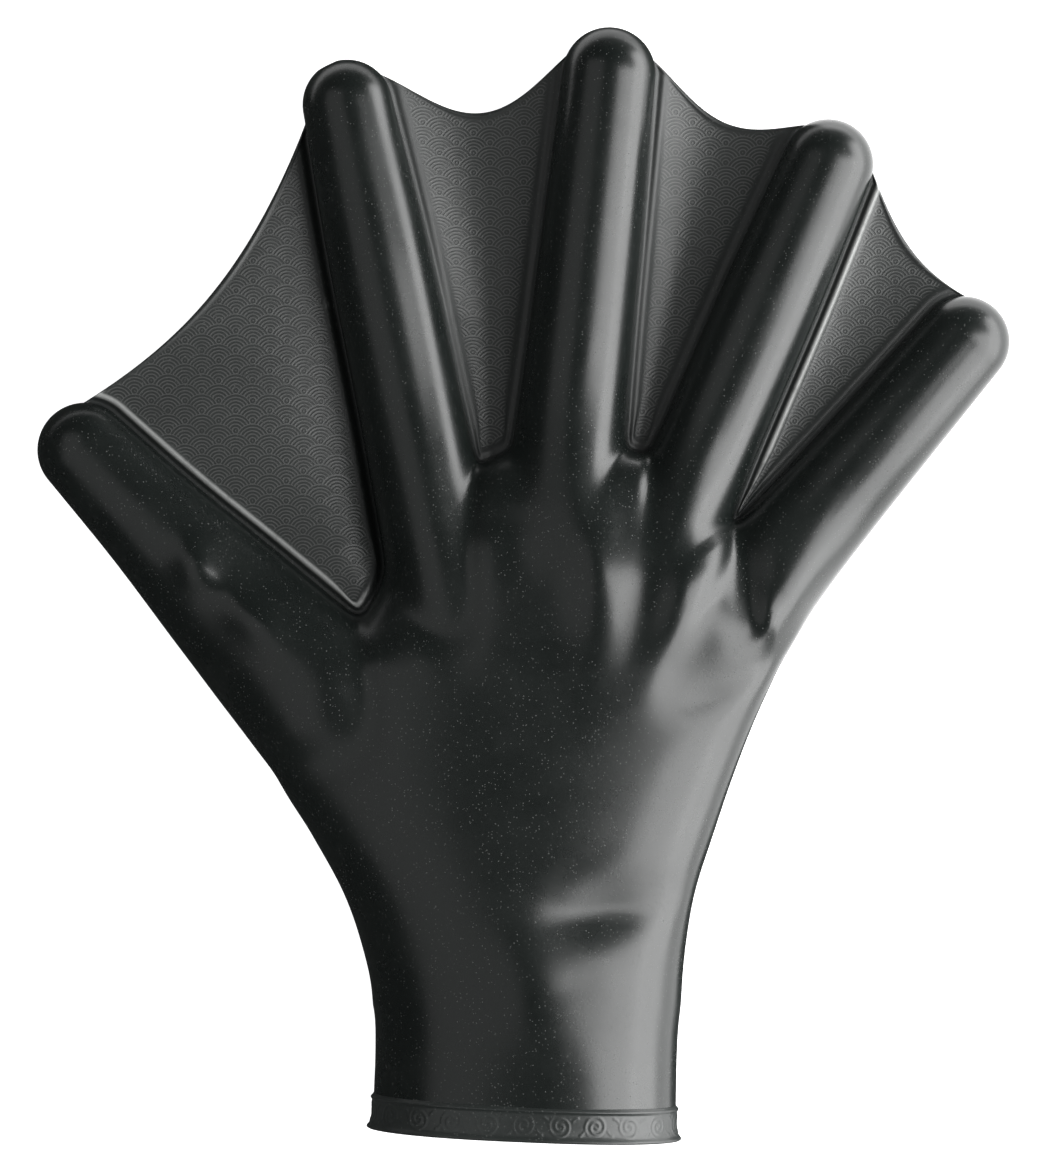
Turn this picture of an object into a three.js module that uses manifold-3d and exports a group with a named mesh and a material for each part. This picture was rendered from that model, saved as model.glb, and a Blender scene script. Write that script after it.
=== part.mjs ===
import * as THREE from 'three';
import { mergeVertices } from 'three/addons/utils/BufferGeometryUtils.js';
import Module from 'manifold-3d';

// Webbed swim glove for a right hand, one dipped rubber skin with a web between each pair of digits.
// Millimetres. X runs across the hand with the thumb at minus X, Y from the wrist to the fingertips,
// and Z up from the palm side, which rests on the floor, to the back of the hand.

// Driving sizes
const PALM_LENGTH = 98;
const PALM_WIDTH = 102;
const PALM_DEPTH = 32;
const WRIST_WIDTH = 65.8;
const CUFF_LENGTH = 28;
const CUFF_SKEW = 2.4;
const STALL_LENGTH = 114;
const STALL_WIDTH = 22;
const STALL_DEPTH = 18.5;
const SKIN_WALL = 1.5;
const SEAT_DEPTH = 0.75;
const WEB_WALL = 1.4;
const WEB_SAG = 3.2;
const WEB_LIP = 0.7;
const LIP_INSET = 2.2;
const BAND_WIDTH = 7.3;
const BAND_WALL = 2.1;
const BAND_FLARE = 0.8;
const GAP = 0.3;
const WEB_GAP = 0.6;

// How quickly one rounded form flows into the next, and how far below its knuckle a digit fades out
const BLEND = 9;
const FADE = 0.36;

// Rubber pools in the crotches of a dipped glove: how much of the hollow's half height it fills there, and how
// far it reaches as a share of STALL_WIDTH
const POOL_SHARE = 0.3;
const POOL_REACH = 0.32;

// Digits from the thumb side. kneeX and kneeY place the knuckle as shares of the palm's width and length,
// long is a share of STALL_LENGTH, lean is degrees toward the little finger, and the widths and depths are
// shares of STALL_WIDTH and STALL_DEPTH at the tip, at 0.3 and 0.65 of the way down, at the knuckle and past it.
const DIGITS = [
  { name: 'thumb', kneeX: -0.452, kneeY: 0.689, long: 0.725, lean: -44.0, wide: [0.936, 1.1, 1.38, 1.62, 1.64], deep: [0.93, 1.05, 1.2, 1.53, 1.55] },
  { name: 'index', kneeX: -0.174, kneeY: 0.927, long: 1.016, lean: -11.7, wide: [0.89, 1.0, 1.03, 1.11, 1.12], deep: [0.9, 1.0, 1.1, 1.43, 1.45] },
  { name: 'middle', kneeX: 0.063, kneeY: 1.001, long: 1.0, lean: 6.2, wide: [0.92, 0.98, 1.05, 1.18, 1.19], deep: [0.92, 1.0, 1.1, 1.48, 1.5] },
  { name: 'ring', kneeX: 0.255, kneeY: 0.924, long: 0.957, lean: 23.3, wide: [0.9, 0.97, 0.98, 1.04, 1.05], deep: [0.9, 1.0, 1.08, 1.43, 1.45] },
  { name: 'little', kneeX: 0.418, kneeY: 0.837, long: 0.792, lean: 40.5, wide: [0.9, 0.97, 1.07, 1.23, 1.25], deep: [0.88, 0.98, 1.06, 1.38, 1.4] },
];
const DIGIT_STATIONS = [0, 0.3, 0.65, 1, 1.25];

// Palm and cuff sections. along is -1 at the rim, 0 at the wrist and 1 at the middle knuckle; thumbSide and
// littleSide say how far each border stands out past the wrist's, as shares of what the palm has over the
// wrist; deep is a share of PALM_DEPTH.
const SECTIONS = [
  { along: -1.4, thumbSide: 0.02, littleSide: -0.03, deep: 1.2 },
  { along: -1.0, thumbSide: 0.02, littleSide: -0.03, deep: 1.2 },
  { along: -0.3, thumbSide: 0.0, littleSide: -0.02, deep: 1.2 },
  { along: 0.02, thumbSide: 0.02, littleSide: 0.005, deep: 1.19 },
  { along: 0.14, thumbSide: 0.09, littleSide: 0.035, deep: 1.15 },
  { along: 0.25, thumbSide: 0.2, littleSide: 0.09, deep: 1.11 },
  { along: 0.37, thumbSide: 0.38, littleSide: 0.195, deep: 1.06 },
  { along: 0.49, thumbSide: 0.57, littleSide: 0.305, deep: 1.03 },
  { along: 0.61, thumbSide: 0.625, littleSide: 0.43, deep: 1.0 },
  { along: 0.735, thumbSide: 0.46, littleSide: 0.58, deep: 0.97 },
  { along: 0.84, thumbSide: 0.11, littleSide: 0.69, deep: 0.93 },
  { along: 0.96, thumbSide: -0.08, littleSide: 0.61, deep: 0.88 },
  { along: 1.06, thumbSide: -0.2, littleSide: 0.36, deep: 0.84 },
];
const PALM_END = 0.92;
const PALM_CAP = 0.31;
const PALM_ROUND = 2.4;

// Soft ridges and dents on the back of the hand: x and y place the middle as shares of the palm's width and
// length, lean is degrees toward the little finger, long and wide are half sizes as shares of the palm's
// length, and lift is a share of PALM_DEPTH, below zero for a dent.
const FOLDS = [
  { x: -0.09, y: 1.0, lean: -8, long: 0.09, wide: 0.05, lift: 0.025 },
  { x: 0.145, y: 0.99, lean: -4, long: 0.19, wide: 0.065, lift: 0.075 },
  { x: 0.33, y: 0.92, lean: 4, long: 0.2, wide: 0.06, lift: 0.05 },
  { x: 0.56, y: 0.9, lean: 30, long: 0.16, wide: 0.05, lift: 0.05 },
  { x: 0.46, y: 0.93, lean: -3, long: 0.13, wide: 0.045, lift: -0.07 },
  { x: 0.505, y: 0.86, lean: -14, long: 0.06, wide: 0.025, lift: 0.025 },
  { x: 0.18, y: 0.165, lean: 80, long: 0.1, wide: 0.04, lift: -0.04 },
  { x: 0.015, y: 0.03, lean: -15, long: 0.16, wide: 0.09, lift: 0.045 },
  { x: -0.7, y: 0.96, lean: -20, long: 0.035, wide: 0.035, lift: 0.055 },
  { x: -0.57, y: 0.84, lean: -60, long: 0.06, wide: 0.035, lift: 0.06 },
];

// Webs. a and b are the digits on the thumb side and the little side, endA and endB how far up each digit
// the free edge leaves it, dip the free edge's hollow as a share of STALL_LENGTH, skew where its lowest
// point lies, above 1 toward b, and point how narrow the hollow is. sag is the fall between the digits, below
// zero for a rise, and drop how far the end at b lies below its digit's middle, both as shares of WEB_SAG.
const WEBS = [
  { a: 0, b: 1, endA: 0.973, endB: 0.978, dip: 0.083, skew: 1.067, point: 0.863, sag: -1.4, drop: 1.5 },
  { a: 1, b: 2, endA: 0.974, endB: 0.973, dip: 0.101, skew: 1.095, point: 1.24, sag: 1.7, drop: 0 },
  { a: 2, b: 3, endA: 0.974, endB: 0.978, dip: 0.061, skew: 1.045, point: 1.34, sag: 1.7, drop: 0 },
  { a: 3, b: 4, endA: 0.988, endB: 0.98, dip: 0.042, skew: 1.02, point: 1.0, sag: 0.6, drop: 0 },
];
// Across a web from either border: inset as a share of LIP_INSET and rise as a share of WEB_LIP
const LIP = [
  { inset: 0, rise: -0.35 },
  { inset: 0.4, rise: -0.35 },
  { inset: 0.75, rise: 0.85 },
  { inset: 1.1, rise: 1 },
  { inset: 1.6, rise: 0 },
];

// A smooth curve through rows of a table, with the slope at each row that of the chord past it
function throughRows(places, values) {
  const slopes = values.map((value, k) => {
    const low = Math.max(k - 1, 0);
    const high = Math.min(k + 1, places.length - 1);
    return (values[high] - values[low]) / (places[high] - places[low]);
  });
  return (at) => {
    let i = 0;
    while (i < places.length - 2 && at > places[i + 1]) i += 1;
    const step = places[i + 1] - places[i];
    const q = Math.min(Math.max((at - places[i]) / step, 0), 1);
    return (1 + 2 * q) * (1 - q) ** 2 * values[i] + q * (1 - q) ** 2 * step * slopes[i]
      + q * q * (3 - 2 * q) * values[i + 1] + q * q * (q - 1) * step * slopes[i + 1];
  };
}
const SECTION_PLACES = SECTIONS.map((row) => row.along);
const thumbBorder = throughRows(SECTION_PLACES, SECTIONS.map((row) => row.thumbSide));
const littleBorder = throughRows(SECTION_PLACES, SECTIONS.map((row) => row.littleSide));
const palmDepth = throughRows(SECTION_PLACES, SECTIONS.map((row) => row.deep));

// A digit's ray: its knuckle, the direction it points, the direction across it, and its length
const RAYS = DIGITS.map((digit) => {
  const lean = digit.lean * Math.PI / 180;
  const length = digit.long * STALL_LENGTH;
  return {
    x: digit.kneeX * PALM_WIDTH,
    y: digit.kneeY * PALM_LENGTH,
    up: [Math.sin(lean), Math.cos(lean)],
    side: [Math.cos(lean), -Math.sin(lean)],
    length,
    cap: digit.wide[0] * STALL_WIDTH / 2,
    wide: throughRows(DIGIT_STATIONS, digit.wide),
    deep: throughRows(DIGIT_STATIONS, digit.deep),
  };
});

// One digit as a rounded form: flat is above zero inside its outline and zero on it
function digitForm(i, x, y, grow) {
  const ray = RAYS[i];
  const dx = x - ray.x;
  const dy = y - ray.y;
  const along = dx * ray.up[0] + dy * ray.up[1];
  const across = dx * ray.side[0] + dy * ray.side[1];
  const straight = ray.length - ray.cap;
  const q = 1 - along / straight;
  const halfWidth = ray.wide(q) * STALL_WIDTH / 2 + grow;
  const halfDepth = ray.deep(q) * STALL_DEPTH / 2 + grow;
  const over = Math.max(along - straight, 0) / (ray.cap + grow);
  const under = Math.max(-along, 0) / (FADE * PALM_LENGTH);
  return { flat: 1 - (across / halfWidth) ** 2 - over ** 2 - under ** 2, halfDepth };
}

// The palm and cuff as one rounded form
function palmForm(x, y, grow) {
  const along = y >= 0 ? y / PALM_LENGTH : y / CUFF_LENGTH;
  const spare = PALM_WIDTH - WRIST_WIDTH;
  const left = -WRIST_WIDTH / 2 - spare * thumbBorder(along);
  const right = WRIST_WIDTH / 2 + spare * littleBorder(along);
  const halfDepth = palmDepth(along) * PALM_DEPTH / 2 + grow;
  const over = Math.max(along - PALM_END, 0) / (PALM_CAP + grow / PALM_LENGTH);
  const across = Math.abs((x - (left + right) / 2) / ((right - left) / 2 + grow));
  return { flat: 1 - across ** PALM_ROUND - over ** 2, halfDepth, left, right };
}

// All forms joined by a soft maximum, where z is the height over the middle of the skin
function formsAt(x, y, grow) {
  const forms = RAYS.map((ray, i) => digitForm(i, x, y, grow));
  forms.push(palmForm(x, y, grow));
  return forms;
}
function blend(forms, z) {
  let most = -Infinity;
  for (const form of forms) most = Math.max(most, form.flat - (z / form.halfDepth) ** 2);
  let sum = 0;
  for (const form of forms) sum += Math.exp(BLEND * (form.flat - (z / form.halfDepth) ** 2 - most));
  return most + Math.log(sum) / BLEND;
}
function inside(x, y, grow) {
  return blend(formsAt(x, y, grow), 0);
}

// Height of the skin's middle over the floor: the forms' half depths, weighted as the blend weights them
function middleHeight(x, y) {
  const forms = formsAt(x, y, 0);
  const most = Math.max(...forms.map((form) => form.flat));
  let sum = 0;
  let weight = 0;
  forms.forEach((form) => {
    const share = Math.exp(BLEND * (form.flat - most));
    sum += share * form.halfDepth;
    weight += share;
  });
  return sum / weight - SEAT_DEPTH;
}

// Half the skin's thickness over a point of the plan, zero at its border
function halfThickness(x, y, grow) {
  const forms = formsAt(x, y, grow);
  if (blend(forms, 0) <= 0) return 0;
  let low = 0;
  let high = PALM_DEPTH;
  for (let i = 0; i < 30; i += 1) {
    const z = (low + high) / 2;
    if (blend(forms, z) > 0) low = z;
    else high = z;
  }
  return low;
}

function foldHeight(x, y) {
  return FOLDS.reduce((sum, fold) => {
    const lean = fold.lean * Math.PI / 180;
    const dx = x - fold.x * PALM_WIDTH;
    const dy = y - fold.y * PALM_LENGTH;
    const along = (dx * Math.sin(lean) + dy * Math.cos(lean)) / (fold.long * PALM_LENGTH);
    const across = (dx * Math.cos(lean) - dy * Math.sin(lean)) / (fold.wide * PALM_LENGTH);
    return sum + fold.lift * PALM_DEPTH * Math.exp(-along * along - across * across);
  }, 0);
}

// The skin's upper and lower height over a point of the plan, with its thickness cut to a share
function heights(x, y, grow, share) {
  const middle = middleHeight(x, y);
  const half = halfThickness(x, y, grow) * share;
  const fold = foldHeight(x, y) * Math.min(half / (PALM_DEPTH / 4), 1);
  const floor = -grow;
  return [Math.max(middle + half + fold, floor), Math.max(middle - half, floor)];
}

// The border between a point inside and a point outside
function border(from, to, grow) {
  let low = 0;
  let high = 1;
  for (let i = 0; i < 30; i += 1) {
    const t = (low + high) / 2;
    const x = from[0] + (to[0] - from[0]) * t;
    const y = from[1] + (to[1] - from[1]) * t;
    if (inside(x, y, grow) > 0) low = t;
    else high = t;
  }
  return [from[0] + (to[0] - from[0]) * low, from[1] + (to[1] - from[1]) * low];
}

function onRay(i, along) {
  return [RAYS[i].x + RAYS[i].up[0] * along, RAYS[i].y + RAYS[i].up[1] * along];
}
function lerp(a, b, t) {
  return [a[0] + (b[0] - a[0]) * t, a[1] + (b[1] - a[1]) * t];
}
function shareAlong(i, point) {
  return (point[0] - RAYS[i].x) * RAYS[i].up[0] + (point[1] - RAYS[i].y) * RAYS[i].up[1];
}

// Where a digit's root line meets the hand's outer border, level with a crotch
function outerRoot(i, sign, point, grow) {
  const from = onRay(i, shareAlong(i, point));
  const reach = sign * PALM_WIDTH / 2;
  return border(from, [from[0] + RAYS[i].side[0] * reach, from[1] + RAYS[i].side[1] * reach], grow);
}

// The crotch between digits i and i + 1 on a line that runs beside the one halfway between them
function crotchBeside(i, beside, grow) {
  const a = RAYS[i];
  const b = RAYS[i + 1];
  const size = Math.hypot(a.up[0] + b.up[0], a.up[1] + b.up[1]);
  const up = [(a.up[0] + b.up[0]) / size, (a.up[1] + b.up[1]) / size];
  const below = PALM_LENGTH / 5;
  const start = [(a.x + b.x) / 2 - up[0] * below + up[1] * beside, (a.y + b.y) / 2 - up[1] * below - up[0] * beside];
  let reach = 0;
  while (reach < STALL_LENGTH && inside(start[0] + up[0] * reach, start[1] + up[1] * reach, grow) > 0) reach += 1;
  const last = [start[0] + up[0] * (reach - 1), start[1] + up[1] * (reach - 1)];
  const next = [start[0] + up[0] * reach, start[1] + up[1] * reach];
  return { at: border(last, next, grow), up };
}

// The four crotches, each at the lowest point of its curve as seen square to the line of its neighbours
function crotchesOf(grow) {
  const first = [0, 1, 2, 3].map((i) => crotchBeside(i, 0, grow));
  const line = [outerRoot(0, -1, first[0].at, grow), ...first.map((c) => c.at), outerRoot(4, 1, first[3].at, grow)];
  return first.map((start, i) => {
    const along = [line[i + 2][0] - line[i][0], line[i + 2][1] - line[i][1]];
    const height = (c) => c.at[1] * along[0] - c.at[0] * along[1];
    let best = start;
    for (let n = -STALL_WIDTH / 4; n <= STALL_WIDTH / 4; n += STALL_WIDTH / 60) {
      const other = crotchBeside(i, n, grow);
      if (height(other) < height(best)) best = other;
    }
    return best;
  });
}

// The line across the cuff at a distance in from the rim, as its ends on the skin's border
function cuffLine(inset, grow) {
  const tilt = Math.tan(CUFF_SKEW * Math.PI / 180);
  const end = (sign) => {
    const y = -CUFF_LENGTH + inset - sign * tilt * WRIST_WIDTH / 2;
    return border([0, y], [sign * PALM_WIDTH, y], grow);
  };
  return [end(-1), end(1)];
}

// Plan of the hand as rows of points: one grid for each digit from its root to its tip, and one for the palm
// from the roots to the cuff. Points are spaced as equal angles round the skin's section.
function handPlan(grow, inset, cellsAcross, digitRows, palmRows) {
  const crotches = crotchesOf(grow);
  const first = outerRoot(0, -1, crotches[0].at, grow);
  const last = outerRoot(4, 1, crotches[3].at, grow);
  const roots = [first, ...crotches.map((c) => c.at), last];
  const around = (j) => (1 - Math.cos(Math.PI * j / cellsAcross)) / 2;
  const digits = DIGITS.map((digit, i) => {
    const ray = RAYS[i];
    const low = (shareAlong(i, roots[i]) + shareAlong(i, roots[i + 1])) / 2;
    const rows = [];
    for (let r = 0; r <= digitRows; r += 1) {
      const t = r / digitRows;
      const rise = Math.sin(Math.PI / 2 * (0.3 * t * t + 0.7 * t)) ** 1.25;
      const axis = onRay(i, low + (ray.length + grow - 0.001 - low) * rise);
      const edge = (sign) => {
        if (r === 0) return roots[sign < 0 ? i : i + 1];
        if (r === digitRows) return onRay(i, ray.length + grow);
        const c = sign < 0 ? crotches[i - 1] : crotches[i];
        if (!c) return outerRoot(i, sign, axis, grow);
        const far = (ray.length - low) * 1.05 * rise ** 1.6;
        return border(axis, [c.at[0] + c.up[0] * far, c.at[1] + c.up[1] * far], grow);
      };
      const left = edge(-1);
      const right = edge(1);
      const row = [];
      for (let j = 0; j <= cellsAcross; j += 1) row.push(lerp(left, right, around(j)));
      rows.push(row);
    }
    return rows;
  });
  const top = [];
  digits.forEach((rows, i) => rows[0].forEach((point, j) => {
    if (i === 0 || j > 0) top.push(point);
  }));
  const line = cuffLine(inset, grow);
  const count = top.length - 1;
  const chord = [top[count][0] - top[0][0], top[count][1] - top[0][1]];
  const span = Math.hypot(chord[0], chord[1]);
  const shape = top.map((point) => {
    const dx = point[0] - top[0][0];
    const dy = point[1] - top[0][1];
    return [(dx * chord[0] + dy * chord[1]) / span / span, (dy * chord[0] - dx * chord[1]) / span / span];
  });
  const palm = [top];
  for (let r = 1; r <= palmRows; r += 1) {
    const t = (r / palmRows) ** 1.35;
    const fade = 1 - t * t * (3 - 2 * t);
    const ends = [0, 1].map((k) => {
      const y = top[k * count][1] + (line[k][1] - top[k * count][1]) * t;
      return border([0, y], [(k ? 1 : -1) * PALM_WIDTH, y], grow);
    });
    const dx = ends[1][0] - ends[0][0];
    const dy = ends[1][1] - ends[0][1];
    const row = [];
    for (let j = 0; j <= count; j += 1) {
      const even = (1 - Math.cos(Math.PI * j / count)) / 2;
      const a = shape[j][0] * fade + even * (1 - fade);
      const b = shape[j][1] * fade;
      row.push([ends[0][0] + dx * a - dy * b, ends[0][1] + dy * a + dx * b]);
    }
    palm.push(row);
  }
  return { digits, palm, roots, crotches };
}

// Faces gathered as triangles
class Faces {
  constructor() {
    this.list = [];
  }

  tri(a, b, c) {
    this.list.push(...a, ...b, ...c);
  }

  quad(a, b, c, d) {
    this.tri(a, b, c);
    this.tri(a, c, d);
  }

  geometry() {
    const geometry = new THREE.BufferGeometry();
    geometry.setAttribute('position', new THREE.Float32BufferAttribute(this.list, 3));
    const merged = mergeVertices(geometry, 1e-3);
    const index = merged.index.array;
    const kept = [];
    for (let i = 0; i < index.length; i += 3) {
      const [a, b, c] = [index[i], index[i + 1], index[i + 2]];
      if (a !== b && b !== c && c !== a) kept.push(a, b, c);
    }
    merged.setIndex(kept);
    return merged;
  }
}

// The hand as a solid form of the given growth, its cuff end closed by a flat face
function handForm(grow, inset, cellsAcross, digitRows, palmRows) {
  const plan = handPlan(grow, inset, cellsAcross, digitRows, palmRows);
  const faces = new Faces();
  const pooled = (point) => plan.crotches.reduce((share, crotch) => {
    const away = Math.hypot(point[0] - crotch.at[0], point[1] - crotch.at[1]) / (POOL_REACH * STALL_WIDTH);
    return grow < 0 ? share * (1 - POOL_SHARE * Math.exp(-away * away)) : share;
  }, 1);
  const solidRows = (rows, ends, flip) => {
    const points = rows.map((row, r) => row.map((point, j) => {
      const edge = j === 0 || j === row.length - 1 || (ends && ends(r, j));
      const [high, low] = heights(point[0], point[1], grow, pooled(point));
      const middle = Math.max(middleHeight(point[0], point[1]), -grow);
      return edge ? [[...point, middle], [...point, middle]] : [[...point, high], [...point, low]];
    }));
    for (let r = 0; r < points.length - 1; r += 1) {
      for (let j = 0; j < points[r].length - 1; j += 1) {
        const [a, b, c, d] = [points[r][j], points[r][j + 1], points[r + 1][j + 1], points[r + 1][j]];
        if (flip) {
          faces.quad(d[0], c[0], b[0], a[0]);
          faces.quad(a[1], b[1], c[1], d[1]);
        } else {
          faces.quad(a[0], b[0], c[0], d[0]);
          faces.quad(d[1], c[1], b[1], a[1]);
        }
      }
    }
    return points;
  };
  plan.digits.forEach((rows) => solidRows(rows, (r) => r === digitRows, false));
  const points = solidRows(plan.palm, (r, j) => r === 0 && j % cellsAcross === 0, true);
  const last = points[points.length - 1];
  for (let j = 0; j < last.length - 1; j += 1) {
    faces.quad(last[j][1], last[j + 1][1], last[j + 1][0], last[j][0]);
  }
  return { geometry: faces.geometry(), plan };
}

const wasm = await Module();
wasm.setup();
function solid(geometry) {
  const mesh = new wasm.Mesh({
    numProp: 3,
    vertProperties: new Float32Array(geometry.attributes.position.array),
    triVerts: new Uint32Array(geometry.index.array),
  });
  return new wasm.Manifold(mesh);
}
function meshGeometry(manifold) {
  const mesh = manifold.simplify(0.03).getMesh();
  const geometry = new THREE.BufferGeometry();
  geometry.setAttribute('position', new THREE.BufferAttribute(new Float32Array(mesh.vertProperties), 3));
  geometry.setIndex(new THREE.BufferAttribute(new Uint32Array(mesh.triVerts), 1));
  return geometry;
}

// An upright block over a polygon of the plan, used to part one piece from the next
function block(corners) {
  const shape = new THREE.Shape(corners.map((corner) => new THREE.Vector2(corner[0], corner[1])));
  const geometry = new THREE.ExtrudeGeometry(shape, { depth: PALM_DEPTH * 3, bevelEnabled: false });
  geometry.translate(0, 0, -PALM_DEPTH);
  geometry.deleteAttribute('normal');
  geometry.deleteAttribute('uv');
  return solid(mergeVertices(geometry, 1e-4));
}

// Hand skin: the outer form less the inner one, which runs out through the cuff
const outer = handForm(0, BAND_WIDTH + GAP, 8, 14, 12);
const inner = handForm(-SKIN_WALL, BAND_WIDTH - SKIN_WALL, 6, 14, 8);
const skin = solid(outer.geometry).subtract(solid(inner.geometry));

const group = new THREE.Group();
function piece(name, geometry, material) {
  geometry.computeVertexNormals();
  const mesh = new THREE.Mesh(geometry, new THREE.MeshStandardMaterial(material));
  mesh.name = name;
  group.add(mesh);
}
const RUBBER = { color: 0x161a19, roughness: 0.35 };

// Stalls and palm, parted along the line of the digits' roots, and the palm again level with the thumb's crotch
// and at the top of its sleeve
const { roots, crotches } = outer.plan;
const sideways = (i) => {
  const dx = roots[i + 1][0] - roots[i][0];
  const dy = roots[i + 1][1] - roots[i][1];
  const size = Math.hypot(dx, dy);
  return [dx / size, dy / size];
};
const shift = (point, direction, distance) => [point[0] + direction[0] * distance, point[1] + direction[1] * distance];
DIGITS.forEach((digit, i) => {
  const along = sideways(i);
  const far = STALL_LENGTH * 1.5;
  const upLeft = i > 0 ? crotches[i - 1].up : RAYS[i].up;
  const upRight = i < 4 ? crotches[i].up : RAYS[i].up;
  const left = i > 0 ? shift(roots[i], along, GAP / 2) : shift(roots[i], along, -STALL_WIDTH / 2);
  const right = i < 4 ? shift(roots[i + 1], along, -GAP / 2) : shift(roots[i + 1], along, STALL_WIDTH / 2);
  const away = [-along[1], along[0]];
  const corners = [shift(left, away, GAP / 2), shift(right, away, GAP / 2), shift(right, upRight, far), shift(left, upLeft, far)];
  piece(`${digit.name}_stall`, meshGeometry(skin.intersect(block(corners))), RUBBER);
});
const palmCorners = [
  shift(roots[0], sideways(0), -STALL_WIDTH / 2),
  ...roots.slice(1, 5),
  shift(roots[5], sideways(4), STALL_WIDTH / 2),
].map((corner, k) => {
  const before = sideways(Math.max(k - 1, 0));
  const after = sideways(Math.min(k, 4));
  const down = [(before[1] + after[1]) / 2, -(before[0] + after[0]) / 2];
  return shift(corner, down, GAP / 2 / (down[0] ** 2 + down[1] ** 2));
});
const SLEEVE_SHARE = 0.45;
const sleeveTop = SLEEVE_SHARE * PALM_LENGTH;
const knuckleFoot = roots[1][1];
const palmLeft = palmCorners[0][0];
const palmRight = palmCorners[5][0];
const upperHand = skin.intersect(block([
  [palmLeft, sleeveTop + GAP / 2],
  [palmRight, sleeveTop + GAP / 2],
  ...palmCorners.reverse(),
]));
const strip = (low, high) => block([[palmLeft, low], [palmRight, low], [palmRight, high], [palmLeft, high]]);
const knuckles = upperHand.intersect(strip(knuckleFoot + GAP / 2, PALM_LENGTH * 2));
const palm = upperHand.intersect(strip(0, knuckleFoot - GAP / 2));
const sleeve = skin.intersect(strip(-CUFF_LENGTH * 2, sleeveTop - GAP / 2));
piece('knuckles', meshGeometry(knuckles), RUBBER);
piece('hand_body', meshGeometry(palm), RUBBER);
piece('cuff_sleeve', meshGeometry(sleeve), RUBBER);

// Webs: each row runs from one digit's border to the next, with a groove and a lip along both
const webCrotches = crotchesOf(WEB_GAP);
const WEB_SHARES = Array.from({ length: 11 }, (none, r) => (1 - Math.cos(Math.PI * r / 10)) / 2);
WEBS.forEach((web, k) => {
  const { at, up } = webCrotches[k];
  const a = RAYS[web.a];
  const b = RAYS[web.b];
  const lowA = shareAlong(web.a, at);
  const lowB = shareAlong(web.b, at);
  const grid = WEB_SHARES.map((rise) => {
    const axisA = onRay(web.a, lowA + (web.endA * a.length - lowA) * rise);
    const axisB = onRay(web.b, lowB + (web.endB * b.length - lowB) * rise);
    const middle = lerp(axisA, axisB, 0.5);
    const lift = Math.max(0, (middle[0] - at[0]) * up[0] + (middle[1] - at[1]) * up[1]) + WEB_GAP * 2;
    const clear = shift(at, up, lift);
    const edgeA = border(axisA, clear, WEB_GAP);
    const edgeB = border(axisB, clear, WEB_GAP);
    const path = (q) => {
      const hollow = Math.max(0, Math.sin(Math.PI * q ** web.skew)) ** web.point;
      const dip = web.dip * STALL_LENGTH * hollow * rise ** 2;
      return shift(lerp(edgeA, edgeB, q), up, -dip);
    };
    const clearOf = (end) => {
      let q = 0.5;
      const step = (end - 0.5) / 50;
      for (let n = 0; n < 50 && inside(...path(q + step), WEB_GAP) <= 0; n += 1) q += step;
      let next = q + step;
      for (let n = 0; n < 20 && Math.abs(q - end) > 1e-9; n += 1) {
        const half = (q + next) / 2;
        if (inside(...path(half), WEB_GAP) <= 0) q = half;
        else next = half;
      }
      return q;
    };
    const startQ = clearOf(0);
    const endQ = clearOf(1);
    const width = Math.hypot(edgeB[0] - edgeA[0], edgeB[1] - edgeA[1]) * (endQ - startQ);
    const inset = Math.min(LIP_INSET, width * 0.2) / width;
    const stations = LIP.map((row) => [row.inset * inset, row.rise]);
    const first = stations[stations.length - 1][0];
    for (let m = 1; m < 5; m += 1) stations.push([first + (1 - 2 * first) * m / 5, 0]);
    [...LIP].reverse().forEach((row) => stations.push([1 - row.inset * inset, row.rise]));
    const wide = Math.min(1, width / STALL_WIDTH) * WEB_SAG;
    const zA = middleHeight(edgeA[0], edgeA[1]);
    const zB = middleHeight(edgeB[0], edgeB[1]) - web.drop * wide;
    return stations.map(([u, lip]) => {
      const point = path(startQ + (endQ - startQ) * u);
      const z = zA + (zB - zA) * u - web.sag * wide * Math.sin(Math.PI * u);
      const thin = Math.min(lip, 0) * WEB_LIP;
      const top = z + WEB_WALL / 2 + lip * WEB_LIP;
      return [[...point, top], [...point, z - WEB_WALL / 2 - thin]];
    });
  });
  const faces = new Faces();
  const last = grid[0].length - 1;
  const rows = grid.length - 1;
  for (let r = 0; r < rows; r += 1) {
    for (let j = 0; j < last; j += 1) {
      const [p, q, s, w] = [grid[r][j], grid[r][j + 1], grid[r + 1][j + 1], grid[r + 1][j]];
      faces.quad(p[0], q[0], s[0], w[0]);
      faces.quad(w[1], s[1], q[1], p[1]);
    }
    faces.quad(grid[r + 1][0][1], grid[r][0][1], grid[r][0][0], grid[r + 1][0][0]);
    faces.quad(grid[r][last][1], grid[r + 1][last][1], grid[r + 1][last][0], grid[r][last][0]);
  }
  for (let j = 0; j < last; j += 1) {
    faces.quad(grid[0][j][1], grid[0][j + 1][1], grid[0][j + 1][0], grid[0][j][0]);
    faces.quad(grid[rows][j + 1][1], grid[rows][j][1], grid[rows][j][0], grid[rows][j + 1][0]);
  }
  piece(`web_${DIGITS[web.a].name}_${DIGITS[web.b].name}`, faces.geometry(), { color: 0x1c2120, roughness: 0.45 });
});

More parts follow.
